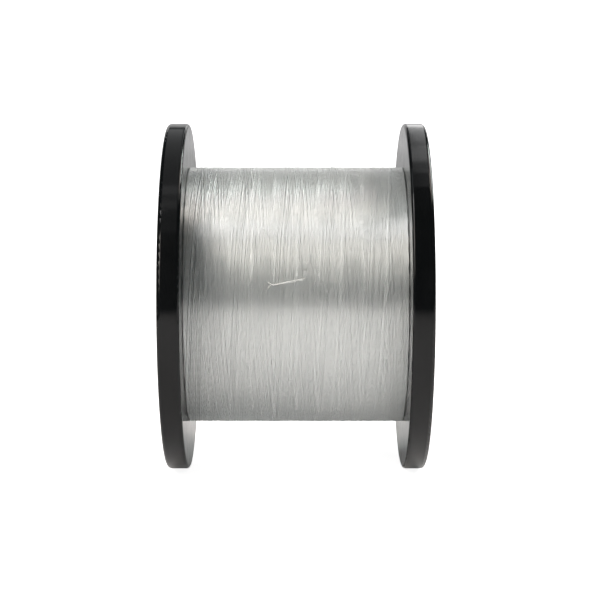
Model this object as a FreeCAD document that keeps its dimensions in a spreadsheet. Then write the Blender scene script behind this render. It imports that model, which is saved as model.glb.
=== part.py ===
"""Bulk spool of monofilament fishing line, wound nearly full.

Four mouldings snap together: two equal flanges, the barrel that the line is wound on, and the arbor
tube that lines the bore. The line is one length, modelled as its winding, inner end, knot and tail.

The spool's axis is X, its centre is the origin, Z is up, and the line's knot faces -Y.
Lengths are in millimetres and angles in degrees.
"""
import FreeCAD, Part

import os

import Sketcher

# Driving dimensions: alias, value. Everything else is worked out from these cells.
DIMENSIONS = [
    ("flange_radius", 47.5),
    ("overall_width", 70.0),
    ("traverse_width", 58.4),
    ("web_thickness", 2.2),
    ("lip_wall", 3.0),
    ("outer_rim_rounding", 1.0),
    ("inner_rim_rounding", 0.8),
    ("edge_rounding", 0.4),
    ("bore_radius", 8.0),
    ("hub_radius", 11.4),
    ("hub_setback", 0.4),
    ("arbor_wall", 1.6),
    ("socket_wall", 1.8),
    ("socket_depth", 3.6),
    ("barrel_radius", 23.0),
    ("barrel_wall", 1.8),
    ("spigot_wall", 1.75),
    ("spigot_depth", 3.0),
    ("fit_gap", 0.15),
    ("tab_count", 6),
    ("tab_angle", 20.0),
    ("tab_wall", 1.2),
    ("hook_reach", 0.9),
    ("hook_height", 1.6),
    ("hook_land", 0.4),
    ("hook_play", 0.05),
    ("window_angle", 24.0),
    ("ring_rib_radius", 25.0),
    ("rib_thickness", 1.4),
    ("rib_height", 2.4),
    ("rib_count", 12),
    ("drive_hole_radius", 2.5),
    ("drive_circle_radius", 15.4),
    ("drive_hole_count", 3),
    ("line_diameter", 0.30),
    ("winding_radius", 35.1),
    ("winding_gap", 0.1),
    ("anchor_hole_radius", 0.6),
    ("anchor_station", 24.0),
    ("stopper_radius", 0.7),
    ("knot_station", -6.2),
    ("knot_rise", 13.0),
    ("knot_length", 1.5),
    ("knot_height", 0.9),
    ("tail_length", 7.9),
    ("tail_slope", 10.0),
]

SHEET = "Dimensions"
ORIGIN_POINT = (-1, 1)
FULL_TURN = 360


def cell(alias):
    """The expression that reads one driving dimension."""
    return SHEET + "." + alias


# Stations along X and radii that several pieces share, as expressions on the sheet.
WEB_INSIDE = cell("traverse_width") + " / 2"
WEB_OUTSIDE = WEB_INSIDE + " + " + cell("web_thickness")
RIM_FACE = cell("overall_width") + " / 2"
HUB_FACE = RIM_FACE + " - " + cell("hub_setback")
RIB_FACE = WEB_OUTSIDE + " + " + cell("rib_height")
LIP_INSIDE = cell("flange_radius") + " - " + cell("lip_wall")
ARBOR_RADIUS = cell("bore_radius") + " + " + cell("arbor_wall")
SOCKET_INSIDE = ARBOR_RADIUS + " + " + cell("fit_gap")
SOCKET_OUTSIDE = SOCKET_INSIDE + " + " + cell("socket_wall")
BARREL_INSIDE = cell("barrel_radius") + " - " + cell("barrel_wall")
SPIGOT_OUTSIDE = BARREL_INSIDE + " - " + cell("fit_gap")
SPIGOT_INSIDE = SPIGOT_OUTSIDE + " - " + cell("spigot_wall")
RING_RIB_OUTSIDE = cell("ring_rib_radius") + " + " + cell("rib_thickness")
WINDING_INSIDE = cell("barrel_radius") + " + " + cell("winding_gap")
KNOT_RADIUS = cell("winding_radius") + " + " + cell("winding_gap") + " + " + cell("knot_height") + " / 2"


def make_sheet(doc):
    """The spreadsheet that holds the driving dimensions, one named cell each."""
    sheet = doc.addObject("Spreadsheet::Sheet", SHEET)
    for row, (alias, value) in enumerate(DIMENSIONS, start=1):
        sheet.set("A%d" % row, alias)
        sheet.set("B%d" % row, str(value))
        sheet.setAlias("B%d" % row, alias)
    doc.recompute()
    return sheet


def make_body(doc, label):
    """An empty body whose label names the sub-part."""
    body = doc.addObject("PartDesign::Body", label)
    body.Label = label
    return body


def origin_item(body, role):
    """The body's own origin plane or axis."""
    return next(item for item in body.Origin.OriginFeatures if item.Role == role)


def new_sketch(body, name, plane):
    """An empty sketch on one of the body's origin planes."""
    sketch = body.newObject("Sketcher::SketchObject", name)
    sketch.AttachmentSupport = [(origin_item(body, plane), "")]
    sketch.MapMode = "FlatFace"
    return sketch


def place_in(sketch, corner):
    """The point that a pair of expressions gives in the sketch's plane."""
    across, up = (float(sketch.evalExpression(text)) for text in corner)
    return FreeCAD.Vector(across, up, 0)


def drive(sketch, kind, elements, expression):
    """Add a dimension to the sketch and bind it to an expression."""
    value = float(sketch.evalExpression(expression))
    index = sketch.addConstraint(Sketcher.Constraint(kind, *elements, value))
    sketch.setExpression("Constraints[%d]" % index, expression)


def sketch_outline(body, name, plane, corners):
    """A closed straight-sided outline; each corner is a pair of expressions."""
    sketch = new_sketch(body, name, plane)
    points = [place_in(sketch, corner) for corner in corners]
    for start, end in zip(points, points[1:] + points[:1]):
        sketch.addGeometry(Part.LineSegment(start, end))
    for index, (across, up) in enumerate(corners):
        previous = (index - 1) % len(corners)
        sketch.addConstraint(Sketcher.Constraint("Coincident", previous, 2, index, 1))
        drive(sketch, "DistanceX", ORIGIN_POINT + (index, 1), across)
        drive(sketch, "DistanceY", ORIGIN_POINT + (index, 1), up)
    return sketch


def sketch_circles(body, name, plane, radii, centre=("0", "0")):
    """Circles round one centre: one is a disc, and two are a ring."""
    sketch = new_sketch(body, name, plane)
    normal = FreeCAD.Vector(0, 0, 1)
    for radius in radii:
        size = float(sketch.evalExpression(radius))
        index = sketch.addGeometry(Part.Circle(place_in(sketch, centre), normal, size))
        drive(sketch, "Radius", (index,), radius)
        if centre == ("0", "0"):
            sketch.addConstraint(Sketcher.Constraint("Coincident", index, 3, *ORIGIN_POINT))
        else:
            drive(sketch, "DistanceX", ORIGIN_POINT + (index, 3), centre[0])
            drive(sketch, "DistanceY", ORIGIN_POINT + (index, 3), centre[1])
    return sketch


def turn(body, kind, name, sketch, angle=str(FULL_TURN)):
    """Revolve or groove the sketch about the spool's axis, half the angle each way."""
    feature = body.newObject("PartDesign::" + kind, name)
    feature.Profile = sketch
    feature.ReferenceAxis = (origin_item(body, "X_Axis"), [""])
    feature.Midplane = True
    feature.setExpression("Angle", angle)
    body.Tip = feature
    return feature


def ring_pad(body, name, radii, length):
    """A ring about the spool's axis, centred on the origin."""
    pad = body.newObject("PartDesign::Pad", name)
    pad.Profile = sketch_circles(body, name + "Sketch", "YZ_Plane", radii)
    pad.SideType = "Symmetric"
    pad.setExpression("Length", length)
    body.Tip = pad
    return pad


def repeat_round_axis(body, feature, count):
    """Repeat a feature evenly round the spool's axis."""
    pattern = body.newObject("PartDesign::PolarPattern", feature.Name + "Pattern")
    pattern.Originals = [feature]
    pattern.Axis = (origin_item(body, "X_Axis"), [""])
    pattern.Angle = FULL_TURN
    pattern.setExpression("Occurrences", count)
    body.Tip = pattern
    return pattern


def edge_circles(body, places):
    """Names of the body's full circular edges at the given (station, radius) expression pairs."""
    body.Document.recompute()
    wanted = [tuple(float(body.evalExpression(text)) for text in place) for place in places]
    names = []
    for index, edge in enumerate(body.Tip.Shape.Edges, start=1):
        curve = edge.Curve
        if isinstance(curve, Part.Circle):
            if any(abs(curve.Center.x - x) + abs(curve.Radius - r) < 1e-6 for x, r in wanted):
                names.append("Edge%d" % index)
    assert names, "no such edge"
    return names


def soften(body, kind, name, size, places):
    """Fillet or chamfer the circular edges at the given places."""
    base = body.Tip
    names = edge_circles(body, places)
    feature = body.newObject("PartDesign::" + kind, name)
    feature.Base = (base, names)
    feature.setExpression("Radius" if kind == "Fillet" else "Size", size)
    body.Tip = feature
    return feature


def add_flange_disc(body):
    """The flange's turned shape: web, rim lip, hub, ring rib, arbor socket and barrel spigot."""
    corners = [
        (WEB_INSIDE, cell("bore_radius")),
        (WEB_INSIDE, SOCKET_INSIDE),
        (WEB_INSIDE + " - " + cell("socket_depth"), SOCKET_INSIDE),
        (WEB_INSIDE + " - " + cell("socket_depth"), SOCKET_OUTSIDE),
        (WEB_INSIDE, SOCKET_OUTSIDE),
        (WEB_INSIDE, SPIGOT_INSIDE),
        (WEB_INSIDE + " - " + cell("spigot_depth"), SPIGOT_INSIDE),
        (WEB_INSIDE + " - " + cell("spigot_depth"), SPIGOT_OUTSIDE),
        (WEB_INSIDE, SPIGOT_OUTSIDE),
        (WEB_INSIDE, cell("flange_radius")),
        (RIM_FACE, cell("flange_radius")),
        (RIM_FACE, LIP_INSIDE),
        (WEB_OUTSIDE, LIP_INSIDE),
        (WEB_OUTSIDE, RING_RIB_OUTSIDE),
        (RIB_FACE, RING_RIB_OUTSIDE),
        (RIB_FACE, cell("ring_rib_radius")),
        (WEB_OUTSIDE, cell("ring_rib_radius")),
        (WEB_OUTSIDE, cell("hub_radius")),
        (HUB_FACE, cell("hub_radius")),
        (HUB_FACE, cell("bore_radius")),
    ]
    turn(body, "Revolution", "Disc", sketch_outline(body, "DiscSketch", "XZ_Plane", corners))


def round_flange_edges(body):
    """Round the rim and the moulded edges, and lead in the bore."""
    rim = cell("flange_radius")
    soften(body, "Fillet", "OuterRim", cell("outer_rim_rounding"), [(RIM_FACE, rim)])
    soften(body, "Fillet", "InnerRim", cell("inner_rim_rounding"), [(WEB_INSIDE, rim)])
    small = [
        (RIM_FACE, LIP_INSIDE),
        (WEB_OUTSIDE, LIP_INSIDE),
        (HUB_FACE, cell("hub_radius")),
        (RIB_FACE, RING_RIB_OUTSIDE),
        (RIB_FACE, cell("ring_rib_radius")),
    ]
    soften(body, "Fillet", "SmallEdges", cell("edge_rounding"), small)
    soften(body, "Chamfer", "BoreLeadIn", cell("edge_rounding"), [(HUB_FACE, cell("bore_radius"))])


def cut_snap_windows(body):
    """Windows for the barrel's snap tabs, which also part the spigot where the tabs flex inwards."""
    margin = " + " + cell("fit_gap")
    inner = WEB_INSIDE + " - " + cell("spigot_depth") + " - " + cell("fit_gap")
    corners = [
        (inner, SPIGOT_INSIDE + " - " + cell("fit_gap")),
        (WEB_OUTSIDE + margin, SPIGOT_INSIDE + " - " + cell("fit_gap")),
        (WEB_OUTSIDE + margin, cell("barrel_radius")),
        (inner, cell("barrel_radius")),
    ]
    sketch = sketch_outline(body, "WindowSketch", "XZ_Plane", corners)
    window = turn(body, "Groove", "Window", sketch, cell("window_angle"))
    repeat_round_axis(body, window, cell("tab_count"))


def cut_drive_holes(body):
    """Holes through the web for a line winder's drive pins."""
    centre = (cell("drive_circle_radius"), "0")
    hole = body.newObject("PartDesign::Pocket", "DriveHole")
    hole.Profile = sketch_circles(body, "DriveHoleSketch", "YZ_Plane", [cell("drive_hole_radius")], centre)
    hole.Type = "ThroughAll"
    hole.Reversed = True
    body.Tip = hole
    repeat_round_axis(body, hole, cell("drive_hole_count"))


def add_ribs(body):
    """Radial ribs on the outside of the web, from the ring rib to the rim lip."""
    inner = cell("ring_rib_radius") + " + " + cell("rib_thickness") + " / 2"
    outer = LIP_INSIDE + " + " + cell("lip_wall") + " / 2"
    base = WEB_OUTSIDE + " - " + cell("web_thickness") + " / 2"
    top = RIB_FACE + " - " + cell("edge_rounding")
    corners = [(base, inner), (top, inner), (top, outer), (base, outer)]
    rib = body.newObject("PartDesign::Pad", "Rib")
    rib.Profile = sketch_outline(body, "RibSketch", "XZ_Plane", corners)
    rib.SideType = "Symmetric"
    rib.setExpression("Length", cell("rib_thickness"))
    body.Tip = rib
    repeat_round_axis(body, rib, cell("rib_count"))


def flange(doc, label, placement):
    """One flange, made as the right-hand one and then placed."""
    body = make_body(doc, label)
    add_flange_disc(body)
    round_flange_edges(body)
    cut_snap_windows(body)
    cut_drive_holes(body)
    add_ribs(body)
    body.Placement = placement
    return body


def add_snap_tabs(body, side, sign):
    """Snap tabs on one end of the barrel, which pass the flange's windows and hook over its web."""
    root = sign + "(" + WEB_INSIDE + " - " + cell("barrel_wall") + ")"
    land = sign + "(" + WEB_OUTSIDE + " + " + cell("hook_play") + ")"
    shoulder = sign + "(" + WEB_OUTSIDE + " + " + cell("hook_land") + ")"
    tip = sign + "(" + WEB_OUTSIDE + " + " + cell("hook_height") + ")"
    inside = cell("barrel_radius") + " - " + cell("tab_wall")
    outside = cell("barrel_radius") + " - " + cell("winding_gap")
    reach = cell("barrel_radius") + " + " + cell("hook_reach")
    corners = [
        (root, inside),
        (tip, inside),
        (tip, inside + " + " + cell("tab_wall") + " / 2"),
        (shoulder, reach),
        (land, reach),
        (land, outside),
        (root, outside),
    ]
    sketch = sketch_outline(body, side + "TabSketch", "XZ_Plane", corners)
    tab = turn(body, "Revolution", side + "Tab", sketch, cell("tab_angle"))
    repeat_round_axis(body, tab, cell("tab_count"))


def barrel(doc):
    """The drum that the line is wound on, with its snap tabs and the line's anchor hole."""
    body = make_body(doc, "barrel")
    ring_pad(body, "Drum", [cell("barrel_radius"), BARREL_INSIDE], cell("traverse_width"))
    add_snap_tabs(body, "Right", "")
    add_snap_tabs(body, "Left", "-")
    centre = (cell("anchor_station"), "0")
    hole = body.newObject("PartDesign::Pocket", "AnchorHole")
    hole.Profile = sketch_circles(body, "AnchorHoleSketch", "XY_Plane", [cell("anchor_hole_radius")], centre)
    hole.Type = "ThroughAll"
    body.Tip = hole
    return body


def arbor_tube(doc):
    """The centre tube that lines the bore, held in the flanges' sockets."""
    body = make_body(doc, "arbor_tube")
    ring_pad(body, "Tube", [ARBOR_RADIUS, cell("bore_radius")], cell("traverse_width"))
    return body


def line_winding(doc):
    """The wound package of line, which fills the traverse from the barrel up."""
    body = make_body(doc, "line_winding")
    ring_pad(body, "Package", [cell("winding_radius"), WINDING_INSIDE], cell("traverse_width"))
    return body


def line_inner_end(doc):
    """The line's inner end: a stopper knot inside the barrel and the strand that comes out of its hole."""
    knot = doc.addObject("Part::Sphere", "StopperKnot")
    knot.setExpression("Radius", cell("stopper_radius"))
    knot.setExpression("Placement.Base.x", cell("anchor_station"))
    depth = "-(" + BARREL_INSIDE + " - " + cell("hook_play") + " - " + cell("stopper_radius") + ")"
    knot.setExpression("Placement.Base.z", depth)
    strand = doc.addObject("Part::Cylinder", "AnchorStrand")
    strand.setExpression("Radius", cell("line_diameter") + " / 2")
    strand.setExpression("Height", cell("barrel_wall") + " + " + cell("stopper_radius"))
    strand.setExpression("Placement.Base.x", cell("anchor_station"))
    strand.setExpression("Placement.Base.z", "-(" + WINDING_INSIDE + " - " + cell("winding_gap") + " / 2)")
    end = doc.addObject("Part::Fuse", "line_inner_end")
    end.Base = knot
    end.Tool = strand
    end.Label = "line_inner_end"
    return end


def lay_on_front(doc, label, piece):
    """Swing a piece made at the winding's foremost line up round the axis to the knot's place."""
    laid = doc.addObject("Part::Compound", label)
    laid.Label = label
    laid.Links = [piece]
    laid.Placement.Rotation = FreeCAD.Rotation(FreeCAD.Vector(1, 0, 0), 1)
    laid.setExpression("Placement.Rotation.Angle", "-" + cell("knot_rise"))
    return laid


def line_knot(doc):
    """The small knot that ties off the line's outer end, lying on the front of the winding."""
    knot = doc.addObject("Part::Ellipsoid", "Knot")
    knot.setExpression("Radius1", cell("knot_height") + " / 2")
    knot.setExpression("Radius2", cell("knot_length") + " / 2")
    knot.setExpression("Radius3", cell("knot_height") + " / 2")
    knot.setExpression("Placement.Base.x", cell("knot_station"))
    knot.setExpression("Placement.Base.y", "-(" + KNOT_RADIUS + ")")
    return lay_on_front(doc, "line_knot", knot)


def line_tail(doc):
    """The tag end that stands out of the knot, straight along the winding and a little upwards."""
    start = "(" + cell("knot_length") + " / 2 + " + cell("winding_gap") + ")"
    slope = "(" + cell("tail_slope") + " * 1 deg)"
    tail = doc.addObject("Part::Cylinder", "Tail")
    tail.setExpression("Radius", cell("line_diameter") + " / 2")
    tail.setExpression("Height", cell("tail_length"))
    tail.Placement.Rotation = FreeCAD.Rotation(FreeCAD.Vector(0, 1, 0), 1)
    tail.setExpression("Placement.Rotation.Angle", "90 deg - " + slope)
    tail.setExpression("Placement.Base.x", cell("knot_station") + " + " + start + " * cos" + slope)
    tail.setExpression("Placement.Base.y", "-(" + KNOT_RADIUS + ")")
    tail.setExpression("Placement.Base.z", start + " * sin" + slope)
    return lay_on_front(doc, "line_tail", tail)


def check(doc, parts):
    """Stop if any object failed, or if a sub-part isn't one valid solid."""
    for item in doc.Objects:
        assert "Invalid" not in item.State and "Error" not in item.State, item.Label
    for part in parts:
        shape = part.Shape
        assert not shape.isNull() and shape.isValid() and len(shape.Solids) == 1, part.Label


def main():
    """Build the document, check it and write one STEP file for each sub-part."""
    doc = FreeCAD.newDocument("LineSpool")
    make_sheet(doc)
    turned = FreeCAD.Placement(FreeCAD.Vector(), FreeCAD.Rotation(FreeCAD.Vector(0, 1, 0), FULL_TURN / 2))
    parts = [
        flange(doc, "left_flange", turned),
        flange(doc, "right_flange", FreeCAD.Placement()),
        barrel(doc),
        arbor_tube(doc),
        line_winding(doc),
        line_inner_end(doc),
        line_knot(doc),
        line_tail(doc),
    ]
    doc.recompute()
    check(doc, parts)
    os.makedirs("parts", exist_ok=True)
    for part in parts:
        part.Shape.exportStep("parts/" + part.Label + ".step")
        box = part.Shape.optimalBoundingBox(False)
        sides = (box.XMin, box.XMax, box.YMin, box.YMax, box.ZMin, box.ZMax)
        print(part.Label, round(part.Shape.Volume, 2), [round(side, 2) for side in sides])


main()
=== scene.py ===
"""Looks for the spool of monofilament fishing line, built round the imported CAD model.

The mouldings are the CAD nodes with better materials. The line is modelled as strands: one continuous
cross-wound strand over a plain core, each turn resting on those under it, a tied knot with its tag end, and
the hidden inner end.
Lengths are in metres. X is the spool's axis, Z is up and the knot faces -Y.
"""

import math

import bpy
import numpy as np
from mathutils import Matrix, Vector


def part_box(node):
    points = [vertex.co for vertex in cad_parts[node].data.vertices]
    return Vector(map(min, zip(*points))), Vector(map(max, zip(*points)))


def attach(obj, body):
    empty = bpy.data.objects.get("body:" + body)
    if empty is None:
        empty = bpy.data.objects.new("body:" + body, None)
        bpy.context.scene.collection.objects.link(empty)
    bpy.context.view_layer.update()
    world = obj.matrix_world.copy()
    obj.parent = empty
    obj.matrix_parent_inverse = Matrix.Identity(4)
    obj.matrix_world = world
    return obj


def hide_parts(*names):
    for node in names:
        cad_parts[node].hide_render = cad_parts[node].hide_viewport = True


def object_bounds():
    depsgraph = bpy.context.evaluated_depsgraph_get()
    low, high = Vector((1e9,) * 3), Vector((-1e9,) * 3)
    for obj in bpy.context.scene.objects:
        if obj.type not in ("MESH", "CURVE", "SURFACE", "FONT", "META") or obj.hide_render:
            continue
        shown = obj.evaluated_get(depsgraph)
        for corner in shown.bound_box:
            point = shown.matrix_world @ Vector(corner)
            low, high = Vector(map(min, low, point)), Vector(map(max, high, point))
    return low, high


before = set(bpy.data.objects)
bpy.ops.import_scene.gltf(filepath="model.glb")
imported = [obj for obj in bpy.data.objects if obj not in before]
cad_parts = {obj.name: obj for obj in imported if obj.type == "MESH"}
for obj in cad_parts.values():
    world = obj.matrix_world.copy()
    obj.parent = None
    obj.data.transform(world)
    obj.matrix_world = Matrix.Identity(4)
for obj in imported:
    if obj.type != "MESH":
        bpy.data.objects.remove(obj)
CAD_BOX = [list(corner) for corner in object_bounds()]

MM = 0.001
LINE_DIAMETER = 0.30 * MM
LINE_RADIUS = LINE_DIAMETER / 2
BODY = "root"
OFF_AXIS = (0.31, 0.87, 0.38)   # a direction that no length of line starts along


# ---------------------------------------------------------------- meshes

def mesh_object(name, points, faces):
    """A smooth-shaded mesh object from an array of points and an array of four-sided faces."""
    points = np.asarray(points, np.float32).reshape(-1, 3)
    faces = np.asarray(faces, np.int32).reshape(-1, 4)
    mesh = bpy.data.meshes.new(name)
    mesh.vertices.add(len(points))
    mesh.vertices.foreach_set("co", points.ravel())
    mesh.loops.add(faces.size)
    mesh.loops.foreach_set("vertex_index", faces.ravel())
    mesh.polygons.add(len(faces))
    mesh.polygons.foreach_set("loop_start", np.arange(0, faces.size, 4, dtype=np.int32))
    mesh.update(calc_edges=True)
    mesh.shade_smooth()
    piece = bpy.data.objects.new(name, mesh)
    bpy.context.scene.collection.objects.link(piece)
    return piece


def tube_faces(rings, sides):
    """The faces of a tube of rings with an even number of sides, closed at both ends by strips of faces."""
    ring = np.arange(rings - 1)[:, None] * sides
    side = np.arange(sides)[None, :]
    after = (side + 1) % sides
    walls = np.stack([ring + side, ring + after, ring + sides + after, ring + sides + side], axis=-1)
    near = np.arange(sides // 2 - 1)
    far = sides - 1 - near
    start = np.stack([near, far, far - 1, near + 1], axis=-1)
    end = (start + (rings - 1) * sides)[:, ::-1]
    return np.concatenate([walls.reshape(-1, 4), start, end])


def strand(name, path, radius=LINE_RADIUS, sides=12):
    """A length of line along a path, its section kept square to the path without twisting."""
    path = np.asarray(path, float)
    along = np.gradient(path, axis=0)
    along /= np.linalg.norm(along, axis=1)[:, None]
    turn = np.linspace(0, 2 * np.pi, sides, endpoint=False)[:, None]
    across = np.cross(along[0], OFF_AXIS)
    rings = []
    for point, direction in zip(path, along):
        across = across - direction * (across @ direction)
        across /= np.linalg.norm(across)
        rings.append(point + radius * (np.cos(turn) * across + np.sin(turn) * np.cross(direction, across)))
    return mesh_object(name, np.array(rings), tube_faces(len(path), sides))


def smooth_path(points, count):
    """A Catmull-Rom curve through the points, with count steps in each span."""
    points = [2 * Vector(points[0]) - Vector(points[1]), *map(Vector, points),
              2 * Vector(points[-1]) - Vector(points[-2])]
    path = []
    for before, start, end, after in zip(points, points[1:], points[2:], points[3:]):
        for t in np.linspace(0, 1, count, endpoint=False).tolist():
            path.append(0.5 * (2 * start + t * (end - before)
                               + t * t * (2 * before - 5 * start + 4 * end - after)
                               + t ** 3 * (3 * start - before - 3 * end + after)))
    path.append(points[-2])
    return np.array([tuple(point) for point in path])


# ---------------------------------------------------------------- materials

class Nodes:
    """The node tree of a new material, with its Principled shader."""

    def __init__(self, name):
        self.material = bpy.data.materials.new(name)
        self.material.use_nodes = True
        self.tree = self.material.node_tree
        self.tree.nodes.clear()
        self.shader = self.tree.nodes.new("ShaderNodeBsdfPrincipled")
        output = self.tree.nodes.new("ShaderNodeOutputMaterial")
        self.tree.links.new(self.shader.outputs["BSDF"], output.inputs["Surface"])
        self.place = self.tree.nodes.new("ShaderNodeTexCoord").outputs["Object"]

    def set(self, **values):
        """Set the shader's sockets, named with underscores, to plain values."""
        for name, value in values.items():
            self.shader.inputs[name.replace("_", " ")].default_value = value

    def link(self, value, name):
        """Link a value to one of the shader's sockets."""
        self.tree.links.new(value, self.shader.inputs[name])

    def noise(self, scale, detail=4.0, rough=0.5, stretch=(1, 1, 1)):
        """Noise with scale waves in a metre, times the stretch along each axis."""
        mapping = self.tree.nodes.new("ShaderNodeMapping")
        mapping.inputs["Scale"].default_value = stretch
        texture = self.tree.nodes.new("ShaderNodeTexNoise")
        texture.inputs["Scale"].default_value = scale
        texture.inputs["Detail"].default_value = detail
        texture.inputs["Roughness"].default_value = rough
        self.tree.links.new(self.place, mapping.inputs["Vector"])
        self.tree.links.new(mapping.outputs["Vector"], texture.inputs["Vector"])
        return texture.outputs["Fac"]

    def ramp(self, value, *stops):
        """A colour ramp with (position, colour) stops."""
        node = self.tree.nodes.new("ShaderNodeValToRGB")
        elements = node.color_ramp.elements
        while len(elements) < len(stops):
            elements.new(0.5)
        for element, (position, colour) in zip(elements, stops):
            element.position = position
            element.color = (*colour, 1)
        self.tree.links.new(value, node.inputs["Fac"])
        return node.outputs["Color"]

    def spread(self, value, start, end, low, high):
        """Map a value from start..end to low..high."""
        node = self.tree.nodes.new("ShaderNodeMapRange")
        for name, number in zip(("From Min", "From Max", "To Min", "To Max"), (start, end, low, high)):
            node.inputs[name].default_value = number
        self.tree.links.new(value, node.inputs["Value"])
        return node.outputs["Result"]

    def bump(self, height, depth, under=None):
        """A bump of a depth in metres, on top of another where one is given."""
        node = self.tree.nodes.new("ShaderNodeBump")
        node.inputs["Distance"].default_value = depth
        node.inputs["Strength"].default_value = 1.0
        self.tree.links.new(height, node.inputs["Height"])
        if under is not None:
            self.tree.links.new(under, node.inputs["Normal"])
        return node.outputs["Normal"]


def black_plastic():
    """Glossy black polystyrene: polished by its mould, with slight waviness, handling haze and hairlines."""
    nodes = Nodes("black_plastic_gloss")
    nodes.link(nodes.ramp(nodes.noise(70, 5), (0.35, (0.004, 0.0045, 0.005)), (0.7, (0.008, 0.0085, 0.009))),
               "Base Color")
    nodes.link(nodes.spread(nodes.noise(160, 6, 0.65), 0.35, 0.7, 0.07, 0.16), "Roughness")
    nodes.set(IOR=1.46, Specular_IOR_Level=0.34)
    wave = nodes.bump(nodes.noise(90, 2), 0.012 * MM)
    hairline = nodes.noise(700, 3, 0.6, (6.0, 0.5, 0.5))
    nodes.link(nodes.bump(hairline, 0.0015 * MM, wave), "Normal")
    return nodes.material


def core_plastic():
    """Plain satin polypropylene, a little cloudy, with a fine moulded grain."""
    nodes = Nodes("core_plastic_satin")
    nodes.link(nodes.ramp(nodes.noise(50, 4), (0.3, (0.012, 0.012, 0.013)), (0.75, (0.028, 0.028, 0.03))),
               "Base Color")
    nodes.link(nodes.spread(nodes.noise(400, 4), 0.3, 0.7, 0.38, 0.52), "Roughness")
    nodes.set(IOR=1.49)
    nodes.link(nodes.bump(nodes.noise(1800, 2), 0.006 * MM), "Normal")
    return nodes.material


def brightened_single_line():
    """One strand of the line on its own, with a soft polish; its whiter colour is painted light that makes
    the knot and tag end read brighter.
    """
    nodes = Nodes("single_nylon_strand_painted_bright")
    # Whiter than the wound line: painted light, so that the single strands stand out against the winding.
    nodes.link(nodes.ramp(nodes.noise(900, 3), (0.3, (0.86, 0.87, 0.85)), (0.7, (0.95, 0.95, 0.93))),
               "Base Color")
    nodes.link(nodes.spread(nodes.noise(1500, 3), 0.3, 0.7, 0.22, 0.34), "Roughness")
    nodes.set(IOR=1.53, Subsurface_Weight=1.0, Subsurface_Radius=(1, 1, 1), Subsurface_Scale=0.15 * MM)
    nodes.shader.subsurface_method = "BURLEY"
    return nodes.material


def clear_line():
    """Clear nylon line in bulk: bright and silvery, with faint drifts of tone and polish along the strands.

    Light in the line is scattered across it more than along it, so the gloss is drawn out along X.
    """
    nodes = Nodes("clear_nylon_line")
    tone = nodes.noise(60, 4, 0.6, (4.0, 0.4, 0.4))
    nodes.link(nodes.ramp(tone, (0.3, (0.78, 0.80, 0.79)), (0.7, (0.82, 0.84, 0.83))), "Base Color")
    nodes.link(nodes.spread(nodes.noise(500, 3, 0.6, (3.0, 0.3, 0.3)), 0.3, 0.7, 0.39, 0.43), "Roughness")
    nodes.set(Metallic=0.6, IOR=1.53, Subsurface_Weight=1.0, Subsurface_Radius=(1, 1, 1),
              Subsurface_Scale=0.8 * MM, Anisotropic=1.0)
    nodes.shader.subsurface_method = "BURLEY"
    across = nodes.tree.nodes.new("ShaderNodeCombineXYZ")
    across.inputs["X"].default_value = 1.0
    nodes.link(across.outputs["Vector"], "Tangent")
    return nodes.material


# ---------------------------------------------------------------- the winding

STEPS = 360                     # points in one turn of line
WINDING_SIDES = 6
TURNS = 400
STROKE_TURNS = 5 + 0.5 / 40     # turns from flange to flange; the odd part sets passes side by side
WINDING_LENGTHS = 10            # meshes that the one strand is cut into, each under the STL limit
DRIFTS = ((8.3, 0.05), (0.27, 0.012))     # (turns between changes, size in mm) of the strand's wander
NESTING_WIDTH = 0.85 * LINE_DIAMETER     # neighbours closer than this ride up on one another
PRESSED = 0.22                  # how far a strand stands out where it crosses another, in diameters
SETTLING_ROUNDS = 60
END_STEPS = 24                  # steps past each end of a turn that its settling looks at
PACKAGE_LIFT = 0.5 * MM         # the package is a little fuller on top than underneath
OUTSIDE_PERCENTILE = 97         # the height of the line that is put at the CAD solid's outside
CORE_SIDES = 180
CORE_WALL = 2 * LINE_DIAMETER   # the drum under the turns, down to its inner face
RIDGE_PARTS = (0.0, 0.25, 0.5, 0.75)      # points across each ridge of the core


def wander(rng, turns, size):
    """Smooth random drift along the line, with a new value every so many turns."""
    place = np.arange(TURNS * STEPS) / STEPS / turns
    values = rng.normal(size=int(place[-1]) + 2)
    start = place.astype(int)
    part = place - start
    part = part * part * (3 - 2 * part)
    return size * (values[start] * (1 - part) + values[start + 1] * part)


def lay_line(half):
    """The line's station on the axis at each step of each turn, as it is led to and fro."""
    rng = np.random.default_rng(23)
    stroke = np.arange(TURNS * STEPS) / STEPS / STROKE_TURNS % 2
    station = half * (2 * np.where(stroke < 1, stroke, 2 - stroke) - 1)
    for turns, size in DRIFTS:
        station = station + wander(rng, turns, size * MM)
    past = np.abs(station) - half
    station = np.sign(station) * (half - np.abs(past))
    return station.reshape(TURNS, STEPS)


def rests_at(station, height, turn, steps, row):
    """How high the line would lie at these steps of a turn, touching the turns under it."""
    apart = np.abs(station[:turn, steps] - station[row, steps])
    rise = PRESSED * LINE_DIAMETER * np.sqrt(np.maximum(1 - (apart / NESTING_WIDTH) ** 2, 0))
    return np.where(apart < NESTING_WIDTH, height[:turn, steps] + rise, 0).max(axis=0)


def stack(station, radius):
    """The height of each turn, which rests on the turns before it and is pulled tight over the dips."""
    height = np.zeros_like(station)
    sag = (2 * np.pi * radius / STEPS) ** 2 / (2 * radius)
    every, start = slice(0, STEPS), slice(0, END_STEPS)
    for turn in range(1, TURNS):
        following = min(turn + 1, TURNS - 1)
        rest = np.concatenate([height[turn - 1, -END_STEPS:], rests_at(station, height, turn, every, turn),
                               rests_at(station, height, turn, start, following)])
        tight = rest.copy()
        for _ in range(SETTLING_ROUNDS):
            tight[1:-1] = np.maximum(rest[1:-1], (tight[:-2] + tight[2:]) / 2 - sag)
        height[turn] = tight[END_STEPS:-END_STEPS]
    return height


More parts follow.
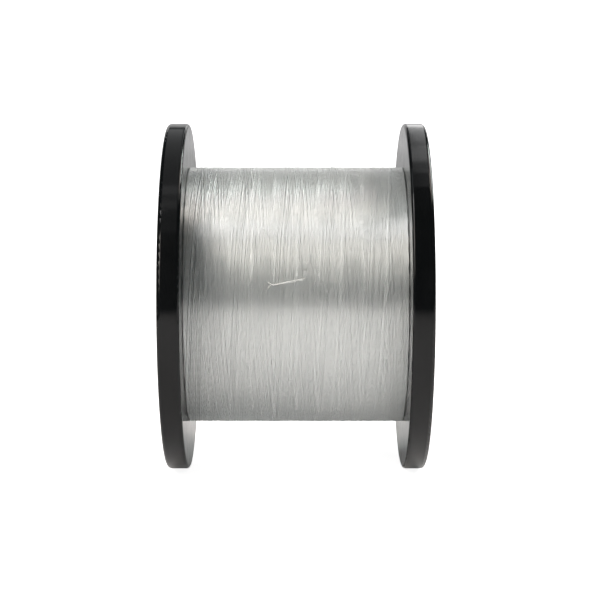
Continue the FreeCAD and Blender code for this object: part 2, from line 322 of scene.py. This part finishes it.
def winding_core(name, half, radius):
    """The plain inner layers of the package, as one ridged drum of side-by-side turns."""
    ridges = int(2 * half / LINE_DIAMETER)
    pitch = 2 * half / ridges
    profile = [(-half, radius - CORE_WALL)]
    for ridge in range(ridges):
        for part in RIDGE_PARTS:
            crest = LINE_RADIUS * math.sin(math.pi * part)
            profile.append((-half + (ridge + part) * pitch, radius - LINE_RADIUS + crest))
    profile += [(half, radius - LINE_RADIUS), (half, radius - CORE_WALL)]
    angle = np.linspace(0, 2 * np.pi, CORE_SIDES, endpoint=False)
    points = [np.stack([np.full(CORE_SIDES, x), r * np.cos(angle), r * np.sin(angle) + PACKAGE_LIFT],
                       axis=-1) for x, r in profile]
    rows = np.arange(len(profile))[:, None] * CORE_SIDES
    below = np.roll(rows, -1, axis=0)
    step = np.arange(CORE_SIDES)[None, :]
    after = (step + 1) % CORE_SIDES
    faces = np.stack([rows + step, below + step, below + after, rows + after], axis=-1)
    return mesh_object(name, np.array(points), faces)


def winding(material):
    """The cross-wound package round a plain core, in the place of the CAD solid."""
    low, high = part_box("line_winding")
    half = high.x - LINE_RADIUS
    outside = high.z - LINE_RADIUS
    station = lay_line(half)
    height = stack(station, outside)
    inside = outside - np.percentile(height, OUTSIDE_PERCENTILE)
    angle = np.arange(TURNS * STEPS) * 2 * np.pi / STEPS
    turn = np.linspace(0, 2 * np.pi, WINDING_SIDES, endpoint=False)[None, :]
    x = station.reshape(-1, 1) + LINE_RADIUS * np.cos(turn)
    r = inside + height.reshape(-1, 1) + LINE_RADIUS * np.sin(turn)
    rings = np.stack([x, r * np.cos(angle)[:, None], r * np.sin(angle)[:, None] + PACKAGE_LIFT], axis=-1)
    cuts = np.linspace(0, len(rings) - 1, WINDING_LENGTHS + 1).astype(int)
    pieces = [winding_core("winding_core", half + LINE_RADIUS, inside)]
    for number, (first, last) in enumerate(zip(cuts, cuts[1:]), 1):
        part = rings[first:last + 1]
        pieces.append(mesh_object(f"wound_line_{number}", part, tube_faces(len(part), WINDING_SIDES)))
    for piece in pieces:
        dress(piece, material, "line_winding")


# ---------------------------------------------------------------- putting it together

def dress(piece, material, node):
    """Give a piece of line its material, in a slot of its own, and its body, and hide the CAD node that it
    stands for.
    """
    piece.data.materials.append(material)
    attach(piece, BODY)
    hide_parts(node)


def repaint(node, material):
    """Put a material in every slot of a CAD node."""
    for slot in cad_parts[node].material_slots:
        slot.material = material


def middle(node):
    """The middle of a CAD node's box."""
    low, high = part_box(node)
    return (Vector(low) + Vector(high)) / 2


KNOT_SIZE = (0.42 * MM, 0.42 * MM)      # reach of the knot's loops along the tag end and round it
KNOT_PROUD = 0.15 * MM          # how far it stands off its place in the CAD model
KNOT_HALF_SPAN = 2.05           # the knot's curve runs this far each way from its middle
KNOT_POINTS = 90
KNOT_DIVISORS = (2.6, 4, 24)    # these bring the curve's three coordinates to about one
# The last turn where it passes through the knot, in mm from its centre: along the tag end, up and out.
KNOT_ARMS = ((-1.05, 1.0, -0.9), (-0.85, 0.62, -0.3), (-0.5, 0.28, 0.1), (-0.1, 0.0, 0.2),
             (-0.5, -0.26, 0.1), (-0.85, -0.58, -0.3), (-1.05, -0.95, -0.9))
CURVE_STEPS = 8                 # points in each span of the arms and the tag end
TAG_BOW = 0.3 * MM
TAG_LIFT = 0.15 * MM            # how far the cut end stands off
TAG_PARTS = (0, 0.15, 0.4, 0.65, 0.85, 1)
STOPPER_SIZE = (0.3 * MM, 0.34 * MM)
STOPPER_BELOW_TOP = 0.7 * MM
STOPPER_THINNING = 6            # every so many points of the knot's curve are used
STOPPER_CURVE_STEPS = 4
STEM_RISES = (0.0, 0.48 * MM, 0.96 * MM)


def knot_path(centre, along, out, length, width):
    """An overhand knot pulled tight, with along pointing out of its exit and out away from the winding.

    It is the polynomial curve (t^3 - 3t, t^4 - 4t^2, t^5 - 10t), a trefoil with open ends.
    """
    side = along.cross(out)
    path = []
    for t in np.linspace(-KNOT_HALF_SPAN, KNOT_HALF_SPAN, KNOT_POINTS).tolist():
        forward = (t ** 3 - 3 * t) / KNOT_DIVISORS[0]
        over = (t ** 4 - 4 * t * t + 2) / KNOT_DIVISORS[1]
        through = (t ** 5 - 10 * t) / KNOT_DIVISORS[2]
        path.append(tuple(centre + length * forward * along + width * (over * out + through * side)))
    return path


def build_knot(material):
    """The knot that ties the outer end to the last turn, the two arms of that turn, and the tag end."""
    centre = middle("line_knot")
    tail_low, tail_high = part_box("line_tail")
    along = Vector((tail_high.x - tail_low.x, 0, tail_high.z - tail_low.z - LINE_DIAMETER)).normalized()
    out = Vector((0, centre.y, centre.z)).normalized()
    up = Vector((1, 0, 0)).cross(out)
    knot = knot_path(centre + KNOT_PROUD * out, along, out, *KNOT_SIZE)
    dress(strand("tied_knot", knot), material, "line_knot")
    arms = [centre + MM * (x * along + y * up + z * out) for x, y, z in KNOT_ARMS]
    dress(strand("turn_through_knot", smooth_path(arms, CURVE_STEPS)), material, "line_knot")
    start = Vector(knot[-1])
    end = Vector((tail_high.x - LINE_RADIUS, tail_high.y - LINE_RADIUS, tail_high.z - LINE_RADIUS))
    end += TAG_LIFT * out
    points = [start.lerp(end, part) + TAG_BOW * math.sin(math.pi * part) * out for part in TAG_PARTS]
    dress(strand("tag_end", smooth_path(points, CURVE_STEPS)), material, "line_tail")


def build_inner_end(material):
    """The hidden start of the line: a short stem and a stopper knot."""
    centre = middle("line_inner_end")
    low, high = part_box("line_inner_end")
    stopper = Vector((centre.x, centre.y, high.z - STOPPER_BELOW_TOP))
    path = knot_path(stopper, Vector((0, 0, 1)), Vector((1, 0, 0)), *STOPPER_SIZE)
    stem = [(centre.x, centre.y, low.z + rise) for rise in STEM_RISES]
    points = stem + [path[0]] + path[STOPPER_THINNING::STOPPER_THINNING]
    dress(strand("inner_end_with_stopper_knot", smooth_path(points, STOPPER_CURVE_STEPS)), material,
          "line_inner_end")


# ---------------------------------------------------------------- studio

IMAGE_SIDE = 592
SENSOR_WIDTH = 36.0
FOCAL_PIXELS = 1715
CAMERA_DISTANCE = 0.475
CAMERA_ELEVATION = math.radians(8.2)
STAGE_HALF_WIDTH = 3.0
STAGE_FRONT = -3.5
WALL = 2.2
WALL_TOP = 0.9
SWEEP = 0.5
SWEEP_POINTS = 16
# The stage's own glow, painted light, as pairs of a distance behind the spool's axis and the strength there.
# The painted light is brightest just in front of the spool, dim under and behind it, and bright again on the
# wall.
STAGE_GLOW = ((-1.0, 0.12), (-0.12, 0.29), (-0.06, 0.29), (-0.01, 0.10), (0.1, 0.02), (0.9, 0.02),
              (1.6, 0.42))
WHITE_OUT = (0.8, 1.1)          # what the camera sees on top of that light, in front and behind
WHITE_OUT_REACH = (0.05, 0.5)   # distances behind the axis between which it changes


def add_camera():
    """The camera, aimed at the middle of the spool."""
    data = bpy.data.cameras.new("camera")
    data.sensor_width = SENSOR_WIDTH
    data.lens = SENSOR_WIDTH * FOCAL_PIXELS / IMAGE_SIDE
    camera = bpy.data.objects.new("camera", data)
    bpy.context.scene.collection.objects.link(camera)
    away = Vector((0, -math.cos(CAMERA_ELEVATION), math.sin(CAMERA_ELEVATION)))
    camera.location = CAMERA_DISTANCE * away
    camera.rotation_euler = (-away).to_track_quat("-Z", "Y").to_euler()
    bpy.context.scene.camera = camera


def add_stage():
    """A white floor that sweeps up into a wall behind the spool; it glows with painted light, and the camera
    sees extra glow that washes it white.
    """
    floor = CAD_BOX[0][2]
    profile = [(STAGE_FRONT, floor), (WALL - SWEEP, floor)]
    for angle in np.linspace(0, math.pi / 2, SWEEP_POINTS).tolist()[1:]:
        profile.append((WALL - SWEEP + SWEEP * math.sin(angle), floor + SWEEP * (1 - math.cos(angle))))
    profile.append((WALL, WALL_TOP))
    points = [(x, y, z) for y, z in profile for x in (-STAGE_HALF_WIDTH, STAGE_HALF_WIDTH)]
    faces = [(2 * k, 2 * k + 1, 2 * k + 3, 2 * k + 2) for k in range(len(profile) - 1)]
    stage = mesh_object("stage", points, faces)
    nodes = Nodes("white_paper_painted_glow")
    nodes.link(nodes.ramp(nodes.noise(6, 3), (0.3, (0.88, 0.86, 0.865)), (0.7, (0.91, 0.89, 0.895))),
               "Base Color")
    nodes.set(Roughness=0.9, Emission_Color=(1, 1, 1, 1))
    # Painted light: the floor glows by its distance behind the axis, with more glow on top for camera rays.
    depth = nodes.tree.nodes.new("ShaderNodeSeparateXYZ")
    nodes.tree.links.new(nodes.place, depth.inputs["Vector"])
    start, end = STAGE_GLOW[0][0], STAGE_GLOW[-1][0]
    along = nodes.spread(depth.outputs["Y"], start, end, 0, 1)
    glow = nodes.ramp(along, *(((y - start) / (end - start), (value,) * 3) for y, value in STAGE_GLOW))
    seen = nodes.tree.nodes.new("ShaderNodeLightPath").outputs["Is Camera Ray"]
    exposure = nodes.tree.nodes.new("ShaderNodeMath")
    exposure.operation = "MULTIPLY_ADD"
    nodes.tree.links.new(seen, exposure.inputs[0])
    nodes.tree.links.new(nodes.spread(depth.outputs["Y"], *WHITE_OUT_REACH, *WHITE_OUT), exposure.inputs[1])
    nodes.tree.links.new(glow, exposure.inputs[2])
    nodes.link(exposure.outputs[0], "Emission Strength")
    stage.data.materials.append(nodes.material)


# name, angles round the spool's axis and to the right in degrees, width and height in metres, watts, colour
SOFTBOXES = (
    ("left_low", 35, -42, 0.50, 0.30, 1.35, (1.00, 0.96, 0.88)),
    ("left_key", 52, -34, 0.50, 0.30, 2.6, (1.00, 0.94, 0.87)),
    ("left_high", 70, -24, 0.50, 0.30, 2.6, (1.00, 0.97, 0.97)),
    ("right_high", 90, 28, 0.50, 0.30, 1.9, (1.00, 0.92, 0.84)),
    ("right_back", 112, 36, 0.50, 0.30, 1.9, (1.00, 0.89, 0.89)),
    ("right_key", 134, 42, 0.50, 0.30, 4.0, (0.91, 1.00, 0.95)),
    ("top", 86, -20, 0.30, 0.50, 0.6, (0.92, 1.00, 0.98)),
    ("right_rim_long", 136, 8, 0.09, 1.20, 0.42, (1.00, 1.00, 1.00)),
    ("right_rim_mid", 108, 8, 0.09, 0.50, 0.08, (1.00, 1.00, 1.00)),
    ("right_rim_short", 96, 8, 0.09, 0.50, 0.06, (1.00, 1.00, 1.00)),
    ("left_rim_long", 114, -7, 0.10, 1.55, 0.20, (1.00, 1.00, 1.00)),
    ("left_rim_mid", 74, -7, 0.10, 0.30, 0.04, (1.00, 1.00, 1.00)),
    ("left_rim_low", 60, -7, 0.10, 0.40, 0.03, (1.00, 1.00, 1.00)),
)
SOFTBOX_DISTANCE = 1.0
ROOM_STRENGTH = 0.016
ROOM_COLOUR = (0.5, 1.0, 1.25, 1)


def add_softbox(name, round_axis, to_right, width, height, power, colour):
    """A soft light aimed at the spool. Round the axis, 0 is in front, 90 is above and 180 is behind."""
    over, side = math.radians(round_axis), math.radians(to_right)
    away = Vector((math.sin(side), -math.cos(side) * math.cos(over), math.cos(side) * math.sin(over)))
    right = Vector((math.cos(side), math.sin(side) * math.cos(over), -math.sin(side) * math.sin(over)))
    data = bpy.data.lights.new(name, "AREA")
    data.shape = "RECTANGLE"
    data.size, data.size_y = width, height
    data.energy = power
    data.color = colour
    light = bpy.data.objects.new(name, data)
    light.location = away * SOFTBOX_DISTANCE
    light.rotation_euler = Matrix((right, away.cross(right), away)).transposed().to_euler()
    bpy.context.scene.collection.objects.link(light)


def add_lights():
    """The softboxes and a dim room, which the camera sees as a white backdrop."""
    world = bpy.data.worlds.new("dim_room")
    world.use_nodes = True
    tree = world.node_tree
    room = tree.nodes["Background"]
    room.inputs["Color"].default_value = ROOM_COLOUR
    room.inputs["Strength"].default_value = ROOM_STRENGTH
    backdrop = tree.nodes.new("ShaderNodeBackground")
    backdrop.inputs["Color"].default_value = (1, 1, 1, 1)
    seen = tree.nodes.new("ShaderNodeLightPath").outputs["Is Camera Ray"]
    either = tree.nodes.new("ShaderNodeMixShader")
    tree.links.new(seen, either.inputs[0])
    tree.links.new(room.outputs[0], either.inputs[1])
    tree.links.new(backdrop.outputs[0], either.inputs[2])
    tree.links.new(either.outputs[0], tree.nodes["World Output"].inputs["Surface"])
    bpy.context.scene.world = world
    bpy.context.scene.view_settings.view_transform = "Standard"
    for softbox in SOFTBOXES:
        add_softbox(*softbox)


def main():
    """Put up the studio, repaint the mouldings and lay the line."""
    add_camera()
    add_stage()
    add_lights()
    black, core, line, brightened_strand = black_plastic(), core_plastic(), clear_line(), brightened_single_line()
    for node in ("left_flange", "right_flange"):
        repaint(node, black)
    for node in ("barrel", "arbor_tube"):
        repaint(node, core)
    winding(line)
    build_knot(brightened_strand)
    build_inner_end(brightened_strand)


main()
